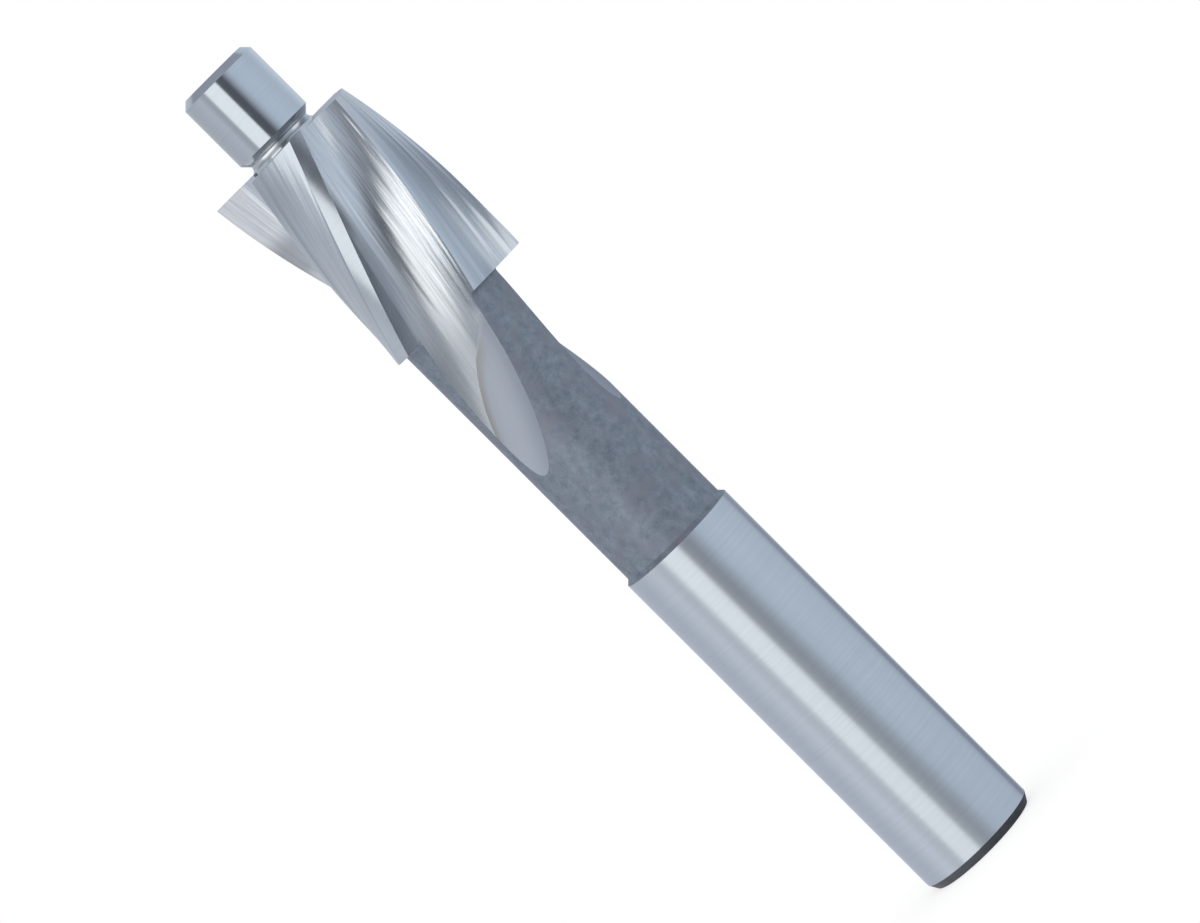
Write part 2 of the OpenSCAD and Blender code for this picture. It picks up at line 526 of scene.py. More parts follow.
def finish_height(share):
    """Height of the finish line, from the rake side at share -1 to the heel side at share 1."""
    heel_side = max(0.0, share) * FLOOR_HALF_W
    face_side = min(0.0, share) * FLOOR_HALF_W
    slopes = FINISH_HEEL_SLOPE * heel_side + FINISH_FACE_SLOPE * face_side
    return FINISH_Z + slopes - FINISH_FACE_BEND * face_side ** 2


def finish_softness(share):
    """How gradually the grinding lines fade out: crisp on the rake side, soft on the heel side."""
    return FINISH_CRISP + FINISH_FADE * max(0.0, share - FINISH_FADE_START) ** 2


def ring_rows(angles, profile):
    """Rows round the axis for each radius and height of a turned profile."""
    return [[point(cmath.rect(r, a), z) for a in angles] for r, z in profile]


def closed(row):
    return row + row[:1]


def add_shank(skin, neck_ring):
    """Plain neck, shoulder, shank and its end, on the columns of the neck's ring."""
    angles = [math.atan2(p[1], p[0]) for p in closed(neck_ring)]
    shoulder_z = SHANK_LENGTH - SHOULDER
    chamfer_z = SHANK_CHAMFER_LENGTH
    end_r = SHANK_R - SHANK_CHAMFER_DEPTH
    bands = {
        "neck": [(NECK_R, TAIL_Z + (SHANK_LENGTH - TAIL_Z) * t) for t in steps(PLAIN_NECK_ROWS)],
        "shoulder": [(NECK_R, SHANK_LENGTH), (SHANK_R, shoulder_z)],
        "shank": [(SHANK_R, shoulder_z + (chamfer_z - shoulder_z) * t) for t in steps(SHANK_ROWS)],
        "shank_chamfer": [(SHANK_R, chamfer_z), (end_r, 0.0)],
        "shank_end": [(end_r * (1 - t), 0.0) for t in steps(END_ROWS)],
    }
    for patch, profile in bands.items():
        skin.grid(ring_rows(angles, profile), patch)


def undercut_height(r):
    """Height of the undercut's fillet at radius r."""
    side = UNDERCUT_R + UNDERCUT_FILLET - r
    return LIP_Z + UNDERCUT_FILLET - math.sqrt(UNDERCUT_FILLET ** 2 - side ** 2)


def front_angles(rim):
    """Angles round the undercut, half way between even steps and the rim's own angles."""
    count = len(rim) - 1
    first = math.atan2(rim[0][1], rim[0][0])
    angles = []
    for i, p in enumerate(rim):
        even = first + 2 * math.pi * i / count
        lead = math.remainder(math.atan2(p[1], p[0]) - even, 2 * math.pi)
        angles.append(even + lead / 2)
    return angles


def add_front(skin, rim, angles):
    """Relieved front of the teeth, and the step from it to the undercut."""
    inner = [cmath.rect(RELIEF_RING_R, a) for a in angles]
    rows = [rim]
    for t in steps(FRONT_ROWS)[1:]:
        spots = [complex(p[0], p[1]) * (1 - t) + q * t for p, q in zip(rim, inner)]
        rows.append([point(spot, LIP_Z - lip_drop(spot)) for spot in spots])
    skin.grid(rows, "head_front")
    brink = [point(q, undercut_height(RELIEF_RING_R)) for q in inner]
    skin.grid([rows[-1], brink], "relief_wall")


def add_pilot(skin, angles):
    """Undercut and pilot, up to the flat tip."""
    fillet = [RELIEF_RING_R + (UNDERCUT_R - RELIEF_RING_R) * t for t in steps(FILLET_ROWS)]
    ramp_z = PILOT_Z - UNDERCUT_RAMP
    chamfer_z = LENGTH - PILOT_CHAMFER
    tip_r = PILOT_R - PILOT_CHAMFER
    bands = {
        "undercut": [(r, undercut_height(r)) for r in fillet] + [(UNDERCUT_R, ramp_z)],
        "undercut_ramp": [(UNDERCUT_R, ramp_z), (PILOT_R, PILOT_Z)],
        "pilot": [(PILOT_R, PILOT_Z + (chamfer_z - PILOT_Z) * t) for t in steps(PILOT_ROWS)],
        "pilot_chamfer": [(PILOT_R, chamfer_z), (tip_r, LENGTH)],
        "pilot_tip": [(tip_r * (1 - t), LENGTH) for t in steps(END_ROWS)],
    }
    for patch, profile in bands.items():
        skin.grid(ring_rows(angles, profile), patch)


def make_cutter():
    """The whole tool as one smooth mesh with sharp edges between its ground surfaces."""
    skin = Skin()
    neck_ring, rim = [], []
    for tooth in range(TOOTH_COUNT):
        neck_end, front = add_tooth(skin, tooth)
        neck_ring += neck_end[:-1]
        rim += front[:-1]
    add_shank(skin, neck_ring)
    rim = closed(rim)
    angles = front_angles(rim)
    add_front(skin, rim, angles)
    add_pilot(skin, angles)
    return skin.finished("counterbore_ground")


# Node helpers
def new_node(tree, kind, **settings):
    made = tree.nodes.new(kind)
    for name, value in settings.items():
        setattr(made, name, value)
    return made


def feed(tree, socket, value):
    """Links a socket to another, or sets its value."""
    if isinstance(value, bpy.types.NodeSocket):
        tree.links.new(value, socket)
    else:
        socket.default_value = value


def maths(tree, operation, *values):
    made = new_node(tree, "ShaderNodeMath", operation=operation)
    for socket, value in zip(made.inputs, values):
        feed(tree, socket, value)
    return made.outputs[0]


def vector_maths(tree, operation, *values):
    made = new_node(tree, "ShaderNodeVectorMath", operation=operation)
    for socket, value in zip(made.inputs, values):
        feed(tree, socket, value)
    return made.outputs["Vector"]


def scaled(tree, vector, factor):
    made = new_node(tree, "ShaderNodeVectorMath", operation="SCALE")
    feed(tree, made.inputs["Vector"], vector)
    feed(tree, made.inputs["Scale"], factor)
    return made.outputs["Vector"]


def ranged(tree, value, low, high, to_low=0.0, to_high=1.0):
    """Smooth step of a value from one range to another."""
    made = new_node(tree, "ShaderNodeMapRange", interpolation_type="SMOOTHSTEP")
    for socket, given in zip(made.inputs, (value, low, high, to_low, to_high)):
        feed(tree, socket, given)
    return made.outputs["Result"]


def linear(tree, value, low, high, to_low=0.0, to_high=1.0):
    """Straight map of a value from one range to another, held at both ends."""
    made = new_node(tree, "ShaderNodeMapRange")
    for socket, given in zip(made.inputs, (value, low, high, to_low, to_high)):
        feed(tree, socket, given)
    return made.outputs["Result"]


def noise(tree, vector, detail=2.0, rough=0.5):
    made = new_node(tree, "ShaderNodeTexNoise")
    feed(tree, made.inputs["Vector"], vector)
    made.inputs["Scale"].default_value = 1.0
    made.inputs["Detail"].default_value = detail
    made.inputs["Roughness"].default_value = rough
    return made.outputs["Fac"]


def blend(tree, share, first, second):
    """Mix of two colours."""
    made = new_node(tree, "ShaderNodeMix", data_type="RGBA")
    feed(tree, made.inputs["Factor"], share)
    colours = [socket for socket in made.inputs if socket.type == "RGBA"]
    feed(tree, colours[0], first)
    feed(tree, colours[1], second)
    return [socket for socket in made.outputs if socket.type == "RGBA"][0]


def blend_value(tree, share, first, second):
    """Mix of two numbers."""
    made = new_node(tree, "ShaderNodeMix", data_type="FLOAT")
    feed(tree, made.inputs[0], share)
    feed(tree, made.inputs[2], first)
    feed(tree, made.inputs[3], second)
    return made.outputs[0]


def tone(colour):
    return (*colour, 1.0)


def object_place(tree):
    return new_node(tree, "ShaderNodeTexCoord").outputs["Object"]


def split_place(tree):
    """The three coordinates of the object's own space, by their letters."""
    split = new_node(tree, "ShaderNodeSeparateXYZ")
    feed(tree, split.inputs[0], object_place(tree))
    return split.outputs


def height_mm(tree):
    """Height above the shank end, in millimetres."""
    return maths(tree, "MULTIPLY", split_place(tree)["Z"], 1 / MM)


def marked(tree, name):
    """Value that the mesh carries at each vertex."""
    return new_node(tree, "ShaderNodeAttribute", attribute_name=name).outputs["Fac"]


def new_group(name, inputs, outputs):
    """Empty shader group with number sockets, and its two ends."""
    group = bpy.data.node_groups.new(name, "ShaderNodeTree")
    for label in inputs:
        socket = group.interface.new_socket(label, in_out="INPUT", socket_type="NodeSocketFloat")
        socket.default_value = 1.0
    for label in outputs:
        group.interface.new_socket(label, in_out="OUTPUT", socket_type="NodeSocketFloat")
    return group, new_node(group, "NodeGroupInput"), new_node(group, "NodeGroupOutput")


def use_group(tree, group, **values):
    made = new_node(tree, "ShaderNodeGroup", node_tree=group)
    for label, value in values.items():
        feed(tree, made.inputs[label], value)
    return made.outputs


# Grinding lines: how far they are drawn out along the helix, round the axis and across an end face
HELIX_DRAW = 0.03
RING_DRAW = 0.012
END_DRAW = 0.04

# Noise of the lines: octaves of the fine and the broad ones, and how broken they are
HELIX_OCTAVES = {"Fine": 4.0, "Broad": 1.0}
RING_OCTAVES = {"Fine": 3.0, "Broad": 2.0}
END_OCTAVES = 3.0
LINE_BREAK = 0.6
BROAD_RINGS = 10

# Noise of the scale: octaves, and the size, shift and broken edge of its slow change of tint
SCALE_OCTAVES = {"Blotch": 4.0, "Grain": 2.0}
TINT_OCTAVES = 3.0
TINT_BREAK = 0.55
TINT_SCALE = 0.45
TINT_SHIFT = (7.3, 2.1, 4.4)


def helix_grain_group():
    """Grinding lines that follow the flutes: fine lines and broad, shallow waves of given widths."""
    group, start, end = new_group("helix_grain", ("Fine", "Broad"), ("Fine", "Broad"))
    unwind = new_node(group, "ShaderNodeVectorRotate", rotation_type="Z_AXIS")
    feed(group, unwind.inputs["Vector"], object_place(group))
    feed(group, unwind.inputs["Angle"], maths(group, "MULTIPLY", height_mm(group), -TWIST_RATE))
    drawn = vector_maths(group, "MULTIPLY", unwind.outputs["Vector"], (1 / MM, 1 / MM, HELIX_DRAW / MM))
    for label, octaves in HELIX_OCTAVES.items():
        width = maths(group, "DIVIDE", 1.0, start.outputs[label])
        feed(group, end.inputs[label], noise(group, scaled(group, drawn, width), octaves, LINE_BREAK))
    return group


def turned_grain_group():
    """Grinding lines round the axis: fine ones of a given width, and broad ones."""
    group, start, end = new_group("turned_grain", ("Width",), ("Fine", "Broad"))
    pull = (RING_DRAW / MM, RING_DRAW / MM, 1 / MM)
    drawn = vector_maths(group, "MULTIPLY", object_place(group), pull)
    fine = scaled(group, drawn, maths(group, "DIVIDE", 1.0, start.outputs["Width"]))
    feed(group, end.inputs["Fine"], noise(group, fine, RING_OCTAVES["Fine"], LINE_BREAK))
    broad = scaled(group, fine, 1 / BROAD_RINGS)
    feed(group, end.inputs["Broad"], noise(group, broad, RING_OCTAVES["Broad"]))
    return group


def mottle_group():
    """Scale that hardening leaves: blotches and fine grain of given widths, and a slow change of tint."""
    group, start, end = new_group("mottle", ("Blotch", "Grain"), ("Blotch", "Grain", "Tint"))
    place = scaled(group, object_place(group), 1 / MM)
    for label, octaves in SCALE_OCTAVES.items():
        spread = scaled(group, place, maths(group, "DIVIDE", 1.0, start.outputs[label]))
        feed(group, end.inputs[label], noise(group, spread, octaves, LINE_BREAK))
    shifted = vector_maths(group, "ADD", scaled(group, place, TINT_SCALE), TINT_SHIFT)
    feed(group, end.inputs["Tint"], noise(group, shifted, TINT_OCTAVES, TINT_BREAK))
    return group


def new_material(name):
    material = bpy.data.materials.new(name)
    material.use_nodes = True
    return material, material.node_tree, material.node_tree.nodes["Principled BSDF"]


def bumped(tree, shader, height, depth=1.0):
    """Surface relief: the height times the given depth, in millimetres."""
    bump = new_node(tree, "ShaderNodeBump")
    bump.inputs["Strength"].default_value = 1.0
    bump.inputs["Distance"].default_value = depth * MM
    feed(tree, bump.inputs["Height"], height)
    feed(tree, shader.inputs["Normal"], bump.outputs["Normal"])


# Colours of bare steel: evenly ground, in the dull and bright lines, and a darker steel tone that paints
# shade on the tooth backs
STEEL = (0.60, 0.645, 0.69)
STEEL_EVEN = (0.57, 0.615, 0.66)
STEEL_DULL = (0.54, 0.58, 0.625)
STEEL_BRIGHT = (0.66, 0.70, 0.745)
STEEL_SHADE = (0.36, 0.40, 0.445)

# Windows of the noise that are stretched to full contrast
NOISE_NARROW = (0.32, 0.68)
NOISE_MIDDLE = (0.3, 0.7)
NOISE_WIDE = (0.25, 0.75)

# Ground flute: its colours, widths and depths of lines and waves, roughness of dull and bright lines
FLUTE_DULL = (0.55, 0.575, 0.605)
FLUTE_BRIGHT = (0.73, 0.76, 0.79)
FLUTE_LINE_W = 0.2
FLUTE_LINE_DEPTH = 0.016
FLUTE_WAVE_W = 0.9
FLUTE_WAVE_DEPTH = 0.06
FLUTE_ROUGH = (0.23, 0.17)

# Shade at the foot of the tooth face, over two windows of the floor's relief
FLUTE_FOOT = (0.27, 0.285, 0.305)
FOOT_SHARE = 0.75
FOOT_NEAR = (-0.5, -0.15)
FOOT_FAR = (-0.82, -0.7)

# Worn lower part of the flute: heights where it ends, and what it keeps of the tone and the lines
FLUTE_WORN = (0.33, 0.355, 0.385)
FRESH_Z = (65.5, 73.0)
WORN_KEEPS = 0.25
WORN_METAL = 0.84
WORN_ROUGH = 0.255

# Run-out below the finish line, with a stain along the crisp part of that line
RUN_OUT = (0.45, 0.485, 0.54)
RUN_OUT_ROUGH = 0.6
RUN_OUT_STEP = 0.018
FINISH_EDGE = (-0.5, 0.8)
RUN_OUT_STAIN = (0.405, 0.405, 0.40)
STAIN_REACH = (-1.8, -0.1)
STAIN_CRISP = (0.2, 0.6)


def flute_tone(tree, grain, fresh, slope):
    """Colour of the ground flute: streaks, the shade at the foot of the face, the worn lower part."""
    streak = linear(tree, grain["Fine"], *NOISE_NARROW)
    ground = blend(tree, streak, tone(FLUTE_DULL), tone(FLUTE_BRIGHT))
    near = ranged(tree, slope, *FOOT_NEAR, FOOT_SHARE, 0.0)
    foot = maths(tree, "MULTIPLY", near, ranged(tree, slope, *FOOT_FAR))
    foot = maths(tree, "MULTIPLY", foot, fresh)
    ground = blend(tree, foot, ground, tone(FLUTE_FOOT))
    kept = linear(tree, fresh, 0.0, 1.0, WORN_KEEPS, 1.0)
    return blend(tree, kept, tone(FLUTE_WORN), ground)


def run_out_tone(tree, line, soft):
    """Colour of the run-out, with the stain along its finish line."""
    near = ranged(tree, line, *STAIN_REACH)
    stain = maths(tree, "MULTIPLY", near, ranged(tree, soft, *STAIN_CRISP, 1.0, 0.0))
    return blend(tree, stain, tone(RUN_OUT), tone(RUN_OUT_STAIN))


def flute_relief(tree, grain, fresh, ground, slope):
    """Height of the lines and waves, the step at the finish line and the slope of the floor."""
    lines = maths(tree, "MULTIPLY", grain["Fine"], FLUTE_LINE_DEPTH)
    waves = maths(tree, "MULTIPLY", grain["Broad"], FLUTE_WAVE_DEPTH)
    kept = linear(tree, fresh, 0.0, 1.0, WORN_KEEPS, 1.0)
    drawn = maths(tree, "MULTIPLY", maths(tree, "ADD", lines, waves), kept)
    step = maths(tree, "MULTIPLY", ground, RUN_OUT_STEP)
    return maths(tree, "ADD", drawn, maths(tree, "ADD", step, slope))


def flute_finish(groups):
    """Ground flute with lines along the helix, and the plain run-out beyond the finish line."""
    material, tree, shader = new_material("flute_ground")
    grain = use_group(tree, groups["helix"], Fine=FLUTE_LINE_W, Broad=FLUTE_WAVE_W)
    line = marked(tree, "finish_line")
    soft = marked(tree, "finish_soft")
    slope = marked(tree, "floor_relief")
    ground = ranged(tree, maths(tree, "DIVIDE", line, soft), *FINISH_EDGE)
    fresh = ranged(tree, height_mm(tree), *FRESH_Z)
    colour = blend(tree, ground, run_out_tone(tree, line, soft), flute_tone(tree, grain, fresh, slope))
    feed(tree, shader.inputs["Base Color"], colour)
    rough = linear(tree, grain["Fine"], *NOISE_WIDE, *FLUTE_ROUGH)
    rough = blend_value(tree, fresh, WORN_ROUGH, rough)
    feed(tree, shader.inputs["Roughness"], blend_value(tree, ground, RUN_OUT_ROUGH, rough))
    bare = linear(tree, fresh, 0.0, 1.0, WORN_METAL, 1.0)
    feed(tree, shader.inputs["Metallic"], blend_value(tree, ground, 1.0, bare))
    bumped(tree, shader, flute_relief(tree, grain, fresh, ground, slope))
    return material


# Tooth backs: widths and depths of lines and waves, roughness, painted shade in the troughs of the broad
# waves, and painted shade towards the lips
LAND_LINE_W = 0.22
LAND_LINE_DEPTH = 0.011
LAND_WAVE_W = 1.5
LAND_WAVE_DEPTH = 0.2
LAND_ROUGH = (0.26, 0.18)
LAND_WAVE_SHADE = (0.36, 0.54)
LAND_WAVE_SHADE_SHARE = 0.65
LIP_SHADE_Z = (84.0, 89.0)
LIP_SHADE = 0.5


def land_finish(groups):
    """Crowned tooth backs with lines along the helix, with painted shade in the troughs of their broad
    waves and towards the lips.
    """
    material, tree, shader = new_material("land_ground")
    grain = use_group(tree, groups["helix"], Fine=LAND_LINE_W, Broad=LAND_WAVE_W)
    streak = linear(tree, grain["Fine"], *NOISE_MIDDLE)
    ground = blend(tree, streak, tone(STEEL_DULL), tone(STEEL_BRIGHT))
    # Painted shade: the tooth back turns towards the darker steel tone near the lips and in the troughs of
    # the broad waves
    lip_shade = ranged(tree, height_mm(tree), *LIP_SHADE_Z, 0.0, LIP_SHADE)
    dark = ranged(tree, grain["Broad"], *LAND_WAVE_SHADE, LAND_WAVE_SHADE_SHARE, 0.0)
    shade = maths(tree, "MAXIMUM", lip_shade, dark)
    feed(tree, shader.inputs["Base Color"], blend(tree, shade, ground, tone(STEEL_SHADE)))
    feed(tree, shader.inputs["Roughness"], linear(tree, grain["Fine"], *NOISE_WIDE, *LAND_ROUGH))
    shader.inputs["Metallic"].default_value = 1.0
    lines = maths(tree, "MULTIPLY", grain["Fine"], LAND_LINE_DEPTH)
    waves = maths(tree, "MULTIPLY", grain["Broad"], LAND_WAVE_DEPTH)
    bumped(tree, shader, maths(tree, "ADD", lines, waves))
    return material


# End faces: width and depth of their lines, and the roughness of dull and bright lines
END_LINE_W = 0.18
END_LINE_DEPTH = 0.006
END_ROUGH = (0.44, 0.36)


def end_finish():
    """Flat end faces with straight grinding lines."""
    material, tree, shader = new_material("end_ground")
    drawn = vector_maths(tree, "MULTIPLY", object_place(tree), (END_DRAW / MM, 1 / MM, 1 / MM))
    lines = noise(tree, scaled(tree, drawn, 1 / END_LINE_W), END_OCTAVES, LINE_BREAK)
    streak = linear(tree, lines, *NOISE_MIDDLE)
    feed(tree, shader.inputs["Base Color"], blend(tree, streak, tone(STEEL_DULL), tone(STEEL)))
    feed(tree, shader.inputs["Roughness"], linear(tree, lines, *NOISE_MIDDLE, *END_ROUGH))
    shader.inputs["Metallic"].default_value = 1.0
    bumped(tree, shader, lines, END_LINE_DEPTH)
    return material


# Round surfaces: width of their lines, roughness, and the pull of the shank's gloss round the axis
RING_LINE_W = 0.25
MARGIN_ROUGH = (0.19, 0.23)
PILOT_ROUGH = (0.10, 0.13)
SHANK_ROUGH = (0.21, 0.24)
SHANK_PULL = 0.6
QUARTER_TURN = 0.25

# Groove behind the pilot, turned and not ground; the dark tone of its lines is partly their own and partly
# painted shade of the recess
GROOVE_LINE_AND_SHADE = (0.44, 0.44, 0.43)
GROOVE_ROUGH = (0.16, 0.24)
GROOVE_LINE_W = 0.22
GROOVE_LINE_DEPTH = 0.004


def turned_finish(name, groups, rough, colours=(STEEL_EVEN, STEEL), width=RING_LINE_W, depth=0.0, pull=0.0):
    """Round surface with fine lines round the axis."""
    material, tree, shader = new_material(name)
    grain = use_group(tree, groups["turned"], Width=width)
    streak = linear(tree, grain["Fine"], *NOISE_MIDDLE)
    feed(tree, shader.inputs["Base Color"], blend(tree, streak, tone(colours[0]), tone(colours[1])))
    feed(tree, shader.inputs["Roughness"], linear(tree, grain["Broad"], *NOISE_MIDDLE, *rough))
    shader.inputs["Metallic"].default_value = 1.0
    shader.inputs["Anisotropic"].default_value = pull
    shader.inputs["Anisotropic Rotation"].default_value = QUARTER_TURN
    if depth:
        bumped(tree, shader, grain["Fine"], depth)
    return material


# Matt skin: dark, light and tinted colours and roughness, on the neck, where hardening left scale, and on
# the chamfer, near black
NECK_COLOURS = ((0.145, 0.178, 0.225), (0.245, 0.285, 0.34), (0.205, 0.217, 0.26))
NECK_ROUGH = (0.42, 0.56)
# The chamfer is coloured near black, with the same blotches and grain as the neck
CHAMFER_COLOURS = ((0.05, 0.056, 0.066), (0.08, 0.088, 0.1), (0.08, 0.08, 0.09))
CHAMFER_ROUGH = (0.4, 0.5)
SCALE_METAL = 0.55
BLOTCH_W = 1.0
BLOTCH_SHARE = 0.65
GRAIN_W = 0.22
GRAIN_DEPTH = 0.008
SCALE_CONTRAST = (0.36, 0.64)
TINT_WINDOW = (0.45, 0.68)
TINT_SHARE = 0.8


def mottled_finish(name, groups, colours, rough):
    """Matt skin with blotches and a fine grain: the neck's grey hardening scale, and the near-black
    chamfer.
    """
    material, tree, shader = new_material(name)
    dark, light, tint = (tone(colour) for colour in colours)
    spots = use_group(tree, groups["mottle"], Blotch=BLOTCH_W, Grain=GRAIN_W)
    both = blend_value(tree, BLOTCH_SHARE, spots["Grain"], spots["Blotch"])
    skin = blend(tree, linear(tree, both, *SCALE_CONTRAST), dark, light)
    tinted = ranged(tree, spots["Tint"], *TINT_WINDOW, 0.0, TINT_SHARE)
    feed(tree, shader.inputs["Base Color"], blend(tree, tinted, skin, tint))
    feed(tree, shader.inputs["Roughness"], linear(tree, spots["Grain"], *NOISE_MIDDLE, *rough))
    shader.inputs["Metallic"].default_value = SCALE_METAL
    bumped(tree, shader, spots["Grain"], GRAIN_DEPTH)
    return material


def groove_finish(groups):
    """Turned groove behind the pilot, with coarser lines whose dark tone is partly their own and partly
    painted shade of the recess.
    """
    # Painted shade: the dark end of the groove's lines is darker than on the pilot, as shade in the recess
    colours = (GROOVE_LINE_AND_SHADE, STEEL_BRIGHT)
    return turned_finish("groove_turned", groups, GROOVE_ROUGH, colours, GROOVE_LINE_W, GROOVE_LINE_DEPTH)


def make_finishes():
    """Every finish of the tool, in the order of the mesh's material slots."""
    groups = {"helix": helix_grain_group(), "turned": turned_grain_group(), "mottle": mottle_group()}
    made = {
        "flute_ground": flute_finish(groups),
        "land_ground": land_finish(groups),
        "end_ground": end_finish(),
        "margin_ground": turned_finish("margin_ground", groups, MARGIN_ROUGH),
        "pilot_ground": turned_finish("pilot_ground", groups, PILOT_ROUGH),
        "shank_ground": turned_finish("shank_ground", groups, SHANK_ROUGH, pull=SHANK_PULL),
        "groove_turned": groove_finish(groups),
        "neck_scale": mottled_finish("neck_scale", groups, NECK_COLOURS, NECK_ROUGH),
        "chamfer_near_black": mottled_finish("chamfer_near_black", groups, CHAMFER_COLOURS, CHAMFER_ROUGH),
    }
    return [made[finish] for finish in FINISHES]


# Studio: white world, banded tent wall for the reflections, small floor that fades out
STUDIO_SIDES = 96
TENT_R = 0.9
TENT_LOW = -0.8
TENT_HIGH = 1.0

# Colours round the tent, by degrees from the camera's side, for five heights of its wall
LAMP = (1.18, 1.19, 1.19)
HIGH_LAMP = (1.56, 1.57, 1.57)
GAP = (0.12, 0.125, 0.145)
MIDDLE_BANDS = (
    (-180, (0.62, 0.66, 0.72)),
    (-140, (0.56, 0.585, 0.63)),
    (-110, (0.57, 0.60, 0.65)),
    (-75, (0.64, 0.67, 0.72)),
    (-58, (0.48, 0.51, 0.54)),
    (-51, (0.56, 0.58, 0.61)),
    (-47, LAMP),
    (-11.5, LAMP),
    (-8, GAP),
    (10, GAP),
    (25, (0.50, 0.55, 0.62)),
    (36, (0.63, 0.71, 0.81)),
    (60, (0.65, 0.735, 0.835)),
    (110, (0.60, 0.67, 0.76)),
    (140, (0.74, 0.80, 0.89)),
    (180, (0.62, 0.66, 0.72)),
)
LOWER_BANDS = (
    (-180, (0.55, 0.585, 0.655)),
    (-165, (0.60, 0.63, 0.70)),
    (-110, (0.61, 0.64, 0.71)),
    (-75, (0.77, 0.80, 0.86)),
    (-54, (0.66, 0.69, 0.72)),
    (-46, (0.68, 0.71, 0.74)),
    (-41, (1.13, 1.15, 1.16)),
    (-9.5, (1.13, 1.15, 1.16)),
    (-5, (0.55, 0.575, 0.60)),
    (12, (0.46, 0.49, 0.53)),
    (25, (0.54, 0.585, 0.65)),
    (36, (0.68, 0.755, 0.85)),
    (60, (0.71, 0.785, 0.88)),
    (110, (0.66, 0.73, 0.82)),
    (128, (0.56, 0.61, 0.70)),
    (138, (0.30, 0.325, 0.38)),
    (154, (0.30, 0.325, 0.38)),
    (164, (0.50, 0.54, 0.61)),
    (180, (0.55, 0.585, 0.655)),
)
UPPER_BANDS = (
    (-180, (0.58, 0.62, 0.68)),
    (-140, (0.58, 0.605, 0.65)),
    (-118, (0.58, 0.605, 0.65)),
    (-106, (0.44, 0.46, 0.50)),
    (-94, (0.66, 0.69, 0.73)),
    (-64, (0.68, 0.71, 0.75)),
    (-52, (0.64, 0.66, 0.69)),
    (-47, HIGH_LAMP),
    (-9, HIGH_LAMP),
    (-5, GAP),
    (16, GAP),
    (30, (0.32, 0.35, 0.40)),
    (42, (0.50, 0.55, 0.63)),
    (62, (0.60, 0.66, 0.75)),
    (80, (0.50, 0.55, 0.63)),
    (96, (0.46, 0.51, 0.58)),
    (112, (0.36, 0.39, 0.45)),
    (126, (0.36, 0.39, 0.45)),
    (142, (0.62, 0.69, 0.79)),
    (180, (0.58, 0.62, 0.68)),
)
TOP_BANDS = (
    (-180, (0.62, 0.66, 0.735)),
    (-118, (0.62, 0.65, 0.70)),
    (-104, (0.64, 0.67, 0.72)),
    (-90, (0.70, 0.73, 0.77)),
    (-76, HIGH_LAMP),
    (-30, HIGH_LAMP),
    (-20, (1.05, 1.06, 1.07)),
    (-8, (0.30, 0.32, 0.355)),
    (8, (0.28, 0.30, 0.335)),
    (24, (0.44, 0.48, 0.54)),
    (52, (0.58, 0.64, 0.73)),
    (60, LAMP),
    (84, LAMP),
    (92, (0.30, 0.33, 0.38)),
    (118, (0.28, 0.31, 0.36)),
    (140, (0.60, 0.67, 0.77)),
    (180, (0.62, 0.66, 0.735)),
)
ROOF = (0.40, 0.415, 0.48)
TABLE_BANDS = (
    (-180, (0.50, 0.52, 0.58)),
    (-110, (0.90, 0.91, 0.96)),
    (-80, (1.16, 1.17, 1.22)),
    (-64, (0.92, 0.93, 0.98)),
    (-50, (0.82, 0.82, 0.86)),
    (-5, (0.84, 0.84, 0.88)),
    (14, (0.40, 0.42, 0.46)),
    (40, (0.26, 0.28, 0.31)),
    (150, (0.18, 0.19, 0.22)),
    (180, (0.50, 0.52, 0.58)),
)

# Heights between which the table gives way to each set of bands in turn, and the last to the roof
WALL = (
    ((-0.28, -0.21), LOWER_BANDS),
    ((-0.04, 0.03), MIDDLE_BANDS),
    ((0.12, 0.22), UPPER_BANDS),
    ((0.20, 0.27), TOP_BANDS),
)
ROOF_EDGE = (0.7, 0.95)


def make_world():
    world = bpy.data.worlds.new("white_studio")
    world.use_nodes = True
    bpy.context.scene.world = world
    background = world.node_tree.nodes["Background"]
    background.inputs["Color"].default_value = (1, 1, 1, 1)
    background.inputs["Strength"].default_value = 1.0


def banded(tree, share, bands):
    """Colours round the tent, from degrees measured from the camera's side."""
    ramp = new_node(tree, "ShaderNodeValToRGB")
    feed(tree, ramp.inputs[0], share)
    stops = ramp.color_ramp.elements
    while len(stops) < len(bands):
        stops.new(1.0)
    for stop, (degrees, colour) in zip(stops, bands):
        stop.position = degrees / 360 + 0.5
        stop.color = tone(colour)
    return ramp.outputs["Color"]


def tent_material():
    """Cloth that glows in bands round the tool, which change from the table up to the roof."""
    material = bpy.data.materials.new("tent_cloth")
    material.use_nodes = True
    tree = material.node_tree
    tree.nodes.clear()
    place = split_place(tree)
    turn = maths(tree, "ARCTAN2", place["X"], maths(tree, "MULTIPLY", place["Y"], -1.0))
    share = maths(tree, "MULTIPLY_ADD", turn, 0.5 / math.pi, 0.5)
    wall = banded(tree, share, TABLE_BANDS)
    for edge, bands in WALL:
        wall = blend(tree, ranged(tree, place["Z"], *edge), wall, banded(tree, share, bands))
    wall = blend(tree, ranged(tree, place["Z"], *ROOF_EDGE), wall, tone(ROOF))
    glow = new_node(tree, "ShaderNodeEmission")
    feed(tree, glow.inputs["Color"], wall)
    output = new_node(tree, "ShaderNodeOutputMaterial")
    feed(tree, output.inputs["Surface"], glow.outputs[0])
    return material


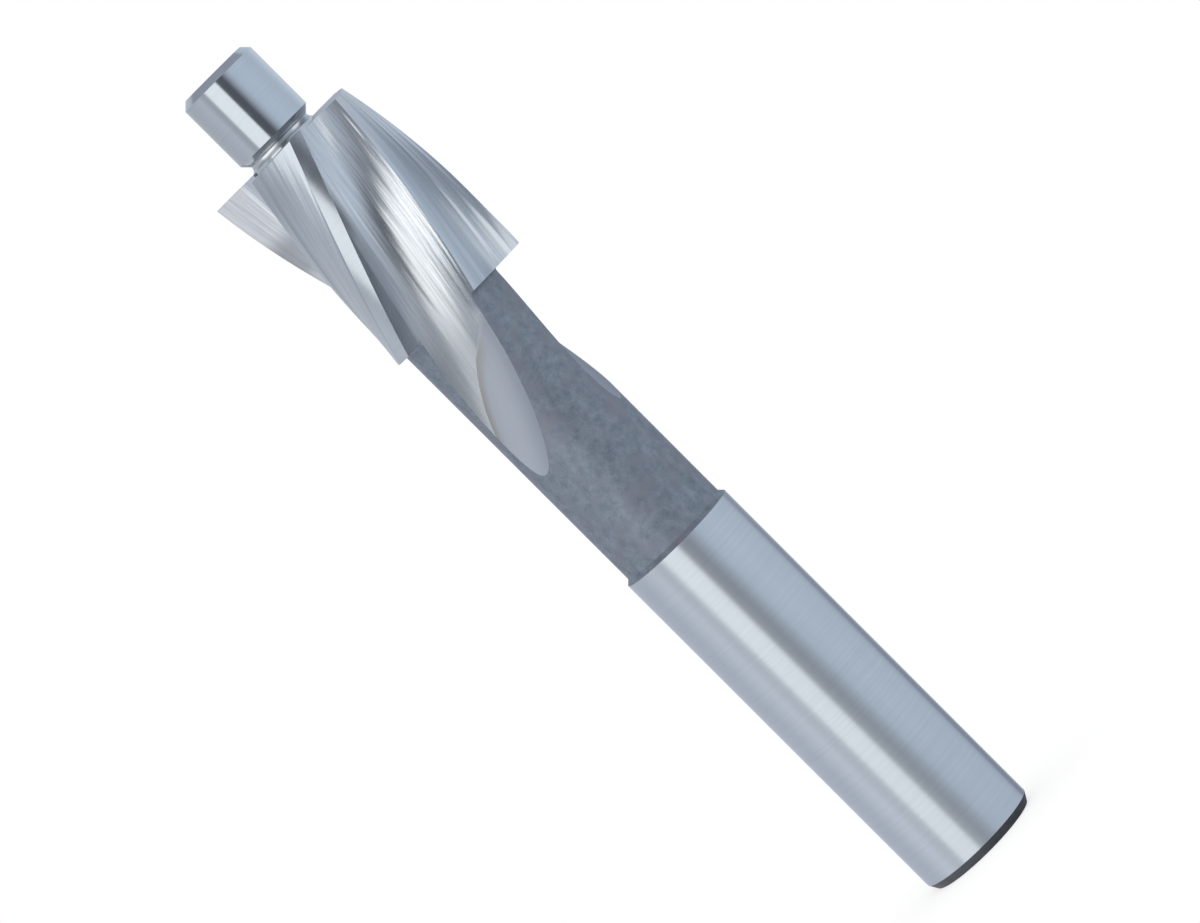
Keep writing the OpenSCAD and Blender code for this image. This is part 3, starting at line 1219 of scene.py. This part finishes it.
def make_tent():
    """Round tent with a closed roof and base, which only reflections see."""
    mesh = bmesh.new()
    turns = [2 * math.pi * t for t in steps(STUDIO_SIDES)[:-1]]
    spots = [(TENT_R * math.cos(a), TENT_R * math.sin(a)) for a in turns]
    lower = [mesh.verts.new((x, y, TENT_LOW)) for x, y in spots]
    upper = [mesh.verts.new((x, y, TENT_HIGH)) for x, y in spots]
    for i in range(STUDIO_SIDES):
        mesh.faces.new((lower[i - 1], lower[i], upper[i], upper[i - 1]))
    mesh.faces.new(upper)
    mesh.faces.new(lower[::-1])
    data = bpy.data.meshes.new("studio_tent")
    mesh.to_mesh(data)
    mesh.free()
    tent = bpy.data.objects.new("studio_tent", data)
    tent.data.materials.append(tent_material())
    bpy.context.scene.collection.objects.link(tent)
    tent.visible_camera = False
    tent.visible_diffuse = False
    tent.visible_shadow = False


# Floor: its radius, where it starts to fade, and its own glow and grey, which add up to white
FLOOR_R = 0.06
FLOOR_PLAIN_R = 0.02
FLOOR_GLOW = 0.7
FLOOR_GREY = (0.33, 0.33, 0.33)


def floor_material():
    """White floor that keeps the contact shadow and fades into the white surroundings."""
    material = bpy.data.materials.new("pale_floor")
    material.use_nodes = True
    tree = material.node_tree
    tree.nodes.clear()
    reach = new_node(tree, "ShaderNodeVectorMath", operation="LENGTH")
    feed(tree, reach.inputs[0], object_place(tree))
    glow = new_node(tree, "ShaderNodeEmission")
    glow.inputs["Strength"].default_value = FLOOR_GLOW
    matt = new_node(tree, "ShaderNodeBsdfDiffuse")
    matt.inputs["Color"].default_value = tone(FLOOR_GREY)
    both = new_node(tree, "ShaderNodeAddShader")
    feed(tree, both.inputs[0], glow.outputs[0])
    feed(tree, both.inputs[1], matt.outputs[0])
    clear = new_node(tree, "ShaderNodeBsdfTransparent")
    mix = new_node(tree, "ShaderNodeMixShader")
    feed(tree, mix.inputs[0], ranged(tree, reach.outputs["Value"], FLOOR_PLAIN_R, FLOOR_R))
    feed(tree, mix.inputs[1], both.outputs[0])
    feed(tree, mix.inputs[2], clear.outputs[0])
    output = new_node(tree, "ShaderNodeOutputMaterial")
    feed(tree, output.inputs["Surface"], mix.outputs[0])
    return material


def make_floor():
    """Small round floor under the shank end, which reflections don't see."""
    mesh = bmesh.new()
    bmesh.ops.create_circle(mesh, cap_ends=True, segments=STUDIO_SIDES, radius=FLOOR_R)
    data = bpy.data.meshes.new("studio_floor")
    mesh.to_mesh(data)
    mesh.free()
    floor = bpy.data.objects.new("studio_floor", data)
    floor.data.materials.append(floor_material())
    bpy.context.scene.collection.objects.link(floor)
    floor.visible_glossy = False


# Camera: the photograph looks a little down on the standing tool and is rolled by an eighth of a turn
EYE_DISTANCE = 0.580
EYE_HEIGHT = 0.094
AIM_HEIGHT = 0.050
ROLL = 45.0
SENSOR_W = 36.0
LENS = 190.5
NEAREST = 0.01
FARTHEST = 10.0


def make_camera():
    data = bpy.data.cameras.new("photo_camera")
    data.sensor_width = SENSOR_W
    data.lens = LENS
    data.clip_start = NEAREST
    data.clip_end = FARTHEST
    camera = bpy.data.objects.new("photo_camera", data)
    bpy.context.scene.collection.objects.link(camera)
    eye = Vector((0, -EYE_DISTANCE, EYE_HEIGHT))
    aim = Vector((0, 0, AIM_HEIGHT))
    look = (aim - eye).to_track_quat("-Z", "Y").to_matrix()
    roll = Matrix.Rotation(math.radians(-ROLL), 3, "Z")
    camera.matrix_world = Matrix.Translation(eye) @ (look @ roll).to_4x4()
    bpy.context.scene.camera = camera


cutter = make_cutter()
for finish in make_finishes():
    cutter.data.materials.append(finish)
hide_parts("counterbore")
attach(cutter, "root")

make_world()
make_tent()
make_floor()
make_camera()
bpy.context.scene.view_settings.view_transform = "Standard"
